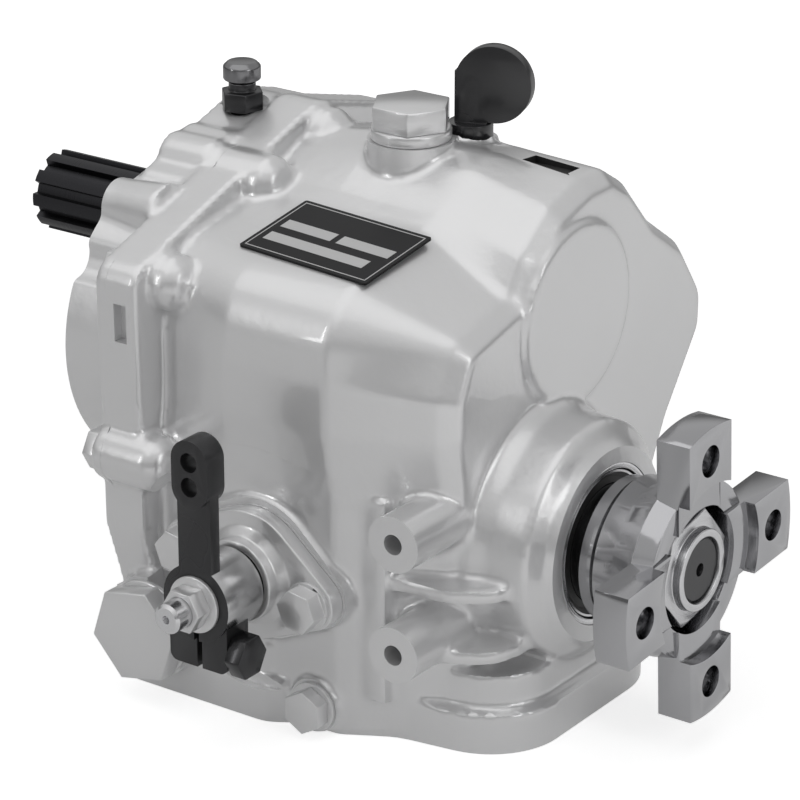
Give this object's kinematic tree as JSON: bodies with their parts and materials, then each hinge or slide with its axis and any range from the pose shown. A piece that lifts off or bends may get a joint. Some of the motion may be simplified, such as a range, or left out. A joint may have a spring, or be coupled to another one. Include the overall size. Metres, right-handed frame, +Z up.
{
  "type": "marine gearbox",
  "caption": "Small marine reversing gearbox: cast case, splined input, side shift lever, cone clutch gear train and a dropped four-eared output coupling.",
  "frame": {"origin": "in the engine mounting face, at the middle of its four bolt holes", "axes": "+X aft along the shafts, towards the output coupling; +Y to starboard, away from the shift lever; +Z up"},
  "size_m": [0.281, 0.2135, 0.206],
  "materials": {
    "casting_paint": "cast aluminium under glossy pearl silver-white paint",
    "painted_steel": "steel under the same paint",
    "gear_steel": "ground hardened steel",
    "shaft_steel": "turned steel, the free spline blackened",
    "bearing_steel": "polished bearing steel",
    "bronze": "turned bronze",
    "coupling_steel": "turned and milled steel, dark",
    "lever_steel": "plated steel, satin",
    "dark_steel": "blackened steel",
    "seal_rubber": "moulded rubber",
    "gasket_paper": "pressed fibre",
    "washer_aluminium": "soft plain washer",
    "black_plastic": "smooth black plastic",
    "rod_steel": "bright rod",
    "plate_black": "black enamel with blank fields"
  },
  "bodies": {
    "case": {"main_case": "casting_paint", "front_housing": "casting_paint", "joint_gasket": "gasket_paper", "case_bolts": "painted_steel", "dowel_pins": "gear_steel", "input_front_bearing_outer_ring": "bearing_steel", "input_rear_bearing_outer_ring": "bearing_steel", "output_front_bearing_outer_ring": "bearing_steel", "output_rear_bearing_outer_ring": "bearing_steel", "input_seal": "seal_rubber", "output_seal": "seal_rubber", "shift_shaft_seal": "seal_rubber", "shift_cover": "casting_paint", "shift_cover_gasket": "gasket_paper", "shift_cover_bolts": "painted_steel", "idler_axle": "gear_steel", "idler_clip": "bearing_steel", "idler_thrust_washers": "bronze", "filler_plug": "painted_steel", "filler_washer": "washer_aluminium", "side_plug": "painted_steel", "side_plug_washer": "washer_aluminium", "drain_plug": "painted_steel", "drain_washer": "washer_aluminium", "breather": "dark_steel", "data_plate": "plate_black"},
    "input_group": {"input_shaft": "shaft_steel", "input_front_bearing_inner_ring": "bearing_steel", "input_front_bearing_rollers": "bearing_steel", "input_rear_bearing_inner_ring": "bearing_steel", "input_rear_bearing_rollers": "bearing_steel"},
    "forward_gear_group": {"forward_gear": "gear_steel", "forward_gear_bush": "bronze"},
    "reverse_gear_group": {"reverse_gear": "gear_steel", "reverse_gear_bush": "bronze"},
    "idler_group": {"idler_gear": "gear_steel", "idler_bush": "bronze"},
    "output_group": {"output_shaft": "shaft_steel", "output_coupling": "coupling_steel", "coupling_nut": "coupling_steel", "forward_thrust_washer": "bronze", "reverse_thrust_washer": "bronze", "output_front_bearing_inner_ring": "bearing_steel", "output_front_bearing_rollers": "bearing_steel", "output_rear_bearing_inner_ring": "bearing_steel", "output_rear_bearing_rollers": "bearing_steel"},
    "sleeve": {"clutch_sleeve": "gear_steel"},
    "lever_group": {"shift_shaft": "shaft_steel", "shift_lever": "lever_steel", "lever_pinch_bolt": "dark_steel", "lever_washer": "painted_steel", "lever_nut": "painted_steel"},
    "shoe": {"shift_shoe": "bronze"},
    "dipstick": {"dipstick_cap": "black_plastic", "dipstick_rod": "rod_steel"}
  },
  "joints": [
    {"name": "input_spin", "type": "hinge", "parent": "case", "child": "input_group", "pos_m": [0.08, 0.018, 0.01989], "axis": [1, 0, 0], "continuous": true},
    {"name": "forward_gear_spin", "type": "hinge", "parent": "case", "child": "forward_gear_group", "pos_m": [0.049, 0, -0.0475], "axis": [1, 0, 0], "continuous": true},
    {"name": "reverse_gear_spin", "type": "hinge", "parent": "case", "child": "reverse_gear_group", "pos_m": [0.111, 0, -0.0475], "axis": [1, 0, 0], "continuous": true},
    {"name": "idler_spin", "type": "hinge", "parent": "case", "child": "idler_group", "pos_m": [0.111, 0.04823, -0.00355], "axis": [1, 0, 0], "continuous": true},
    {"name": "output_spin", "type": "hinge", "parent": "case", "child": "output_group", "pos_m": [0.08, 0, -0.0475], "axis": [1, 0, 0], "continuous": true},
    {"name": "shift_lever_turn", "type": "hinge", "parent": "case", "child": "lever_group", "pos_m": [0.08, -0.07, -0.0565], "axis": [0, 1, 0], "range_deg": [-30, 30]},
    {"name": "clutch_slide", "type": "slide", "parent": "output_group", "child": "sleeve", "axis": [1, 0, 0], "range_m": [-0.0045, 0.0045]},
    {"name": "shoe_turn", "type": "hinge", "parent": "lever_group", "child": "shoe", "pos_m": [0.08, -0.035, -0.0475], "axis": [0, 1, 0], "range_deg": [-30, 30]},
    {"name": "dipstick_pull", "type": "slide", "parent": "case", "child": "dipstick", "axis": [0, 0, 1], "range_m": [0, 0.12]}
  ],
  "couplings": [
    {"joint": "forward_gear_spin", "follows": "input_spin", "ratio": -0.37778},
    {"joint": "idler_spin", "follows": "input_spin", "ratio": -0.88889},
    {"joint": "reverse_gear_spin", "follows": "input_spin", "ratio": 0.4},
    {"joint": "clutch_slide", "follows": "shift_lever_turn", "m_per_rad": 0.0085944},
    {"joint": "shoe_turn", "follows": "shift_lever_turn", "ratio": -1}
  ]
}
